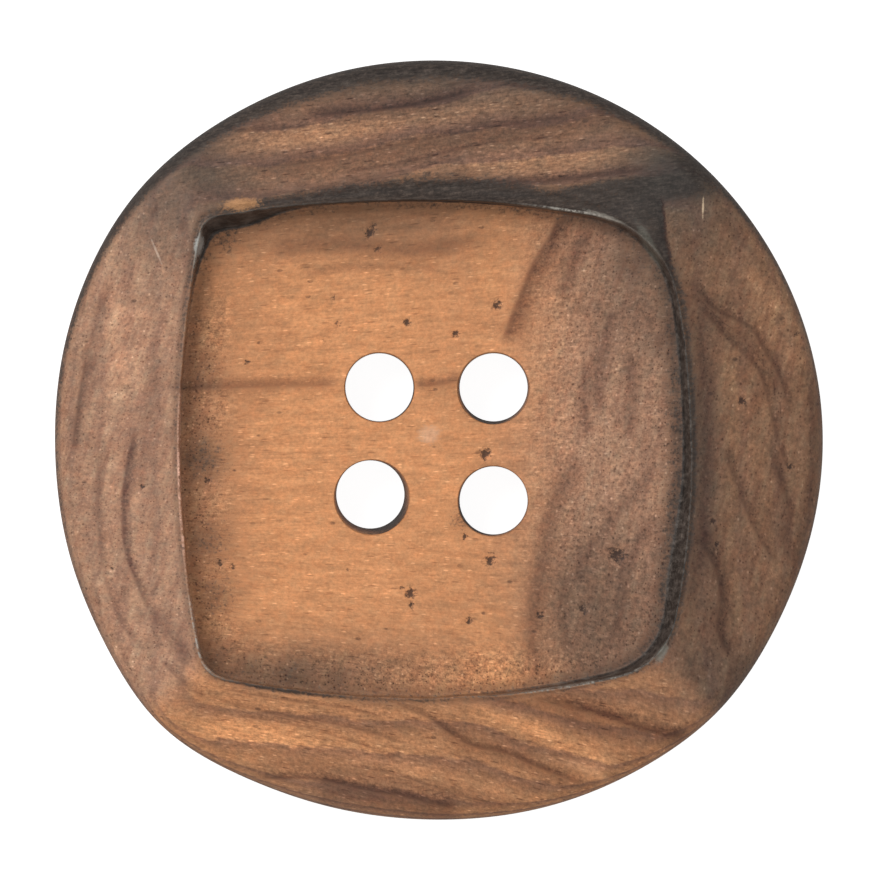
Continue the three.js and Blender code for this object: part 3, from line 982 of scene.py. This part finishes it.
def wood_material():
    n = Nodes("burnished_wood")
    ends = n.attribute("ends")
    flat = n.math("SUBTRACT", 1.0, ends)
    coarse = n.attribute("coarse")
    long_fibre = n.noise((0.6, 11, 11), detail=4, roughness=0.65)
    short_fibre = n.noise((2.4, 10, 10), detail=4, roughness=0.7, offset=(3, 8, 4))
    shortness = n.math("MULTIPLY_ADD", coarse, 0.4, 0.3)
    fibre = n.add(long_fibre, n.times(n.math("SUBTRACT", short_fibre, long_fibre), shortness))
    grit = n.noise((7, 7.5, 7.5), detail=3, roughness=0.75, offset=(9, 1, 5))
    along = n.noise((0.8, 2.6, 2.6), detail=5, roughness=0.7, offset=(2, 3, 8))
    blotch = n.noise((1.7, 1.6, 1.6), detail=5, roughness=0.7, offset=(4, 1, 9))
    mottle = n.add(n.times(along, flat), n.times(blotch, ends))
    leaning = n.node(
        "ShaderNodeMapping",
        {
            "Vector": n.attribute("grain", "Vector"),
            "Rotation": (0, 0, math.radians(-17)),
            "Scale": (0.28, 1.6, 1.0),
        },
        vector_type="TEXTURE",
    )
    sweep = n.node(
        "ShaderNodeTexNoise",
        {"Vector": leaning.outputs[0], "Scale": 1.0, "Detail": 5.0, "Roughness": 0.7},
    )
    sweep = n.centred(sweep.outputs["Fac"], ends)

    # broad tint, shaded by the growth rings and broad bands
    ring = n.add(n.attribute("ring"), n.centred(mottle, 0.3))
    ring = n.add(ring, n.centred(fibre, 0.25))
    phase = n.math("FRACT", ring)
    late = n.times(n.smooth(phase, 0.3, 0.9), n.smooth(phase, 1.0, 0.86))
    late = n.times(late, n.attribute("ring_strength"))
    colour = n.mix(late, n.attribute("tint", "Color"), LATE_WOOD)
    band = n.times(n.times(n.attribute("band"), n.swing(mottle, 1.2)), n.swing(fibre, 0.9))
    pale_band = n.math("MAXIMUM", n.times(band, -1), 0)
    colour = n.filtered(n.math("MAXIMUM", band, 0), colour, DARK_BAND)
    colour = n.filtered(pale_band, colour, PALE_BAND)

    # thin lines, sharp on one side and soft on the other
    across = n.add(n.attribute("line_across"), n.times(n.centred(fibre, 1.4), flat))
    across = n.add(across, n.centred(grit, 2.4))
    line = n.times(n.smooth(across, -1.1, -0.1), n.smooth(across, 2.6, 0.0))
    line = n.times(n.times(line, n.attribute("line_strength")), n.swing(mottle, 1.2))
    colour = n.mix(line, colour, n.mix(1.0, colour, (0.20, 0.13, 0.15), "MULTIPLY"))

    # warmer and cooler blotches
    warmth = n.centred(n.noise((2.2, 2.6, 2.6), detail=4, roughness=0.7, offset=(5, 5, 5)), 0.35)
    redder = n.math("MULTIPLY_ADD", sweep, -0.5, n.add(1.0, warmth))
    colour = n.mix(1.0, colour, n.rgb(redder, 1.0, n.math("MULTIPLY_ADD", warmth, -0.6, 0.94)), "MULTIPLY")

    # fine texture: lines where fibres lie in the surface, dots where they end in it
    dashes = n.marks((1.3, 8.5, 8.5), 0.30, 0.12)
    large_dots = n.marks((4.6, 4.6, 4.6), 0.30, 0.08)
    dots = n.math("MAXIMUM", large_dots, n.marks((8.5, 8.5, 8.5), 0.34, 0.12, (3, 3, 3)))
    marks = n.add(n.times(dashes, flat), n.times(dots, ends))
    marks = n.times(marks, n.math("MULTIPLY_ADD", coarse, 0.35, 0.42))
    colour = n.filtered(marks, colour, DARK_MARK)
    # pale flecks along the fibres and glints where they end: painted sheen
    lying = n.math("MULTIPLY_ADD", ends, -0.8, 1.0)
    sheen_flecks = n.times(n.marks((2.4, 9.0, 9.0), 0.30, 0.12, (5, 2, 7)), lying)
    glints = n.times(n.marks((5.0, 4.4, 5.0), 0.28, 0.08, (6, 9, 4)), ends)
    sheen_flecks = n.times(n.add(sheen_flecks, n.times(glints, 0.8)), n.math("MULTIPLY_ADD", coarse, 0.40, 0.50))
    colour = n.filtered(sheen_flecks, colour, PALE_SHEEN)

    # soot and charring, which in places is painted shade
    char_and_shade = n.attribute("char_and_shade")
    sooty = n.add(n.add(char_and_shade, n.centred(grit, 1.9)), n.centred(mottle, 0.9))
    burnt_and_shaded = n.times(n.smooth(sooty, 0.10, 0.90), n.smooth(char_and_shade, 0.0, 0.2))
    uneven = n.add(short_fibre, n.centred(grit, 0.5))
    soot_colour = n.mix(n.smooth(uneven, 0.3, 0.9), srgb(*BLACKENED), srgb(*SINGED))
    colour = n.mix(n.times(burnt_and_shaded, 0.94), colour, soot_colour)

    # the charred wall, also painted shade at the upper left, with the marks of the tool that cut it
    cuts = n.noise((1.5, 4.5, 1.5), detail=4, roughness=0.7, offset=(7, 7, 2))
    wall_colour = n.mix(n.smooth(cuts, 0.35, 0.75), srgb(*BLACKENED), srgb(*DULL_SOOT))
    wall = n.smooth(n.add(n.attribute("wall"), n.centred(grit, 0.6)), 0.1, 0.8)
    colour = n.mix(n.times(wall, n.smooth(n.attribute("wall"), 0.0, 0.2)), colour, wall_colour)

    # pale patches, among them painted highlights in the well's corners
    for pale_patch in PALE_PATCHES_AND_HIGHLIGHTS:
        colour = n.pale_patch(colour, *pale_patch, ragged=n.centred(grit, 1.6))

    # the lip, rubbed bare in places and given a painted highlight on its crest
    lip = n.attribute("beyond_lip")
    wear_and_highlight = n.times(n.smooth(lip, -0.11, -0.04), n.smooth(lip, 0.06, 0.0))
    wear_and_highlight = n.times(n.times(wear_and_highlight, n.attribute("wear_and_highlight")), n.smooth(n.add(grit, mottle), 0.85, 1.1, 0.2, 1.0))
    colour = n.mix(wear_and_highlight, colour, n.attribute("wear_and_highlight_colour", "Color"))

    # unevenness of all of it
    shade = n.add(1.0, n.centred(grit, n.math("MULTIPLY_ADD", coarse, 0.8, 0.8)))
    shade = n.times(shade, n.swing(mottle, 0.50))
    shade = n.times(shade, n.math("MULTIPLY_ADD", sweep, 1.4, 1.0))
    lined = n.math("MULTIPLY_ADD", n.math("MINIMUM", coarse, 1.6), 0.9, 0.60)
    lined = n.times(lined, n.math("MULTIPLY_ADD", ends, -0.85, 1.0))
    shade = n.times(shade, n.math("MULTIPLY_ADD", n.math("SUBTRACT", fibre, 0.5), lined, 1.0))
    colour = n.scale(colour, shade)

    # pores and burnt specks
    pores = n.times(n.marks((1.1, 2.0, 2.0), 0.16, 0.08, (1, 8, 3)), n.smooth(grit, 0.3, 0.6))
    ragged = n.add(n.attribute("spot"), n.centred(grit, 3.2))
    spot = n.smooth(ragged, 1.3, 0.5)
    dark = n.math("MAXIMUM", n.times(pores, 0.7), n.times(spot, 0.88))
    colour = n.mix(dark, colour, srgb(*DEEP_PORE))

    height = n.add(n.times(fibre, 0.5), n.times(grit, 0.6))
    height = n.math("SUBTRACT", height, n.times(dark, 0.8))
    height = n.math("SUBTRACT", height, n.times(marks, 0.5))
    bump = n.node("ShaderNodeBump", {"Height": height, "Strength": 0.6, "Distance": 0.02 * MM})
    roughness = n.smooth(grit, 0.3, 0.7, 0.45, 0.62)
    surface = n.node(
        "ShaderNodeBsdfPrincipled",
        {
            "Base Color": colour,
            "Roughness": roughness,
            "Normal": bump.outputs[0],
            "Specular IOR Level": 0.25,
        },
    )
    n.node("ShaderNodeOutputMaterial", {"Surface": surface.outputs[0]})
    return n.material


def floor_material():
    """Seen as white, yet throwing little light back at the button's edge."""
    n = Nodes("white_table")
    seen = n.node("ShaderNodeLightPath").outputs["Is Camera Ray"]
    surface = n.node(
        "ShaderNodeBsdfPrincipled",
        {
            "Base Color": (0.35, 0.35, 0.35, 1),
            "Roughness": 0.9,
            "Emission Color": (1, 1, 1, 1),
            "Emission Strength": n.math("MULTIPLY_ADD", seen, 0.73, 0.20),
        },
    )
    n.node("ShaderNodeOutputMaterial", {"Surface": surface.outputs[0]})
    return n.material


# ---------------------------------------------------------------------------------------------
# Studio
# ---------------------------------------------------------------------------------------------


CAMERA_HEIGHT = 0.8  # in metres
PICTURE_FILL = 0.8646  # the button's share of the picture's width
VIEW_SHIFT = (0.15, -0.11)  # from the middle of the button to the middle of the picture, in mm


def aim(thing, target, up=(0, 1, 0)):
    """Turns a camera or lamp to face a point, keeping `up` up in its picture."""
    back = (thing.location - Vector(target)).normalized()
    right = Vector(up).cross(back).normalized()
    thing.rotation_euler = Matrix((right, back.cross(right), back)).transposed().to_euler()


def build_studio():
    world = bpy.data.worlds.new("studio")
    bpy.context.scene.world = world
    world.use_nodes = True
    tree = world.node_tree
    background = tree.nodes["Background"]
    path = tree.nodes.new("ShaderNodeLightPath")
    brightness = tree.nodes.new("ShaderNodeMapRange")
    brightness.inputs["To Min"].default_value = 0.62
    brightness.inputs["To Max"].default_value = 1.0
    tree.links.new(path.outputs["Is Camera Ray"], brightness.inputs["Value"])
    tree.links.new(brightness.outputs[0], background.inputs["Strength"])
    background.inputs["Color"].default_value = (1, 1, 1, 1)

    lamp = bpy.data.lights.new("window", "AREA")
    lamp.shape = "DISK"
    lamp.size = 0.25
    lamp.energy = 0.9
    window = add_object("window", lamp, (-0.20, 0.16, 0.30))
    aim(window, (0, 0, 0))

    reach = 0.6
    mesh = bpy.data.meshes.new("table")
    corners = [(-reach, -reach, 0), (reach, -reach, 0), (reach, reach, 0), (-reach, reach, 0)]
    mesh.from_pydata(corners, [], [(0, 1, 2, 3)])
    table = add_object("table", mesh, (0, 0, -0.02 * MM))
    table.data.materials.append(floor_material())


def build_camera():
    """A long lens straight above the button."""
    low, high = cad_bounds
    across, along = VIEW_SHIFT
    target = Vector(((low.x + high.x) / 2 + across * MM, (low.y + high.y) / 2 + along * MM, 0))
    data = bpy.data.cameras.new("camera")
    camera = add_object("camera", data, target + Vector((0, 0, CAMERA_HEIGHT)))
    aim(camera, target)
    data.sensor_width = 36
    data.lens = data.sensor_width * CAMERA_HEIGHT * PICTURE_FILL / (high.x - low.x)
    data.clip_start, data.clip_end = 0.01, 5
    bpy.context.scene.camera = camera


points, faces = build_grid()
piece = new_object("carved_button", carve_by_hand(points), faces)
drill(piece)
piece.data.shade_smooth()
piece.data.set_sharp_from_angle(angle=math.radians(50))
describe_surface(piece)
piece.data.materials.clear()
piece.data.materials.append(wood_material())
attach(piece, "root")
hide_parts(CAD_NODE)

build_studio()
build_camera()
bpy.context.scene.view_settings.view_transform = "Standard"
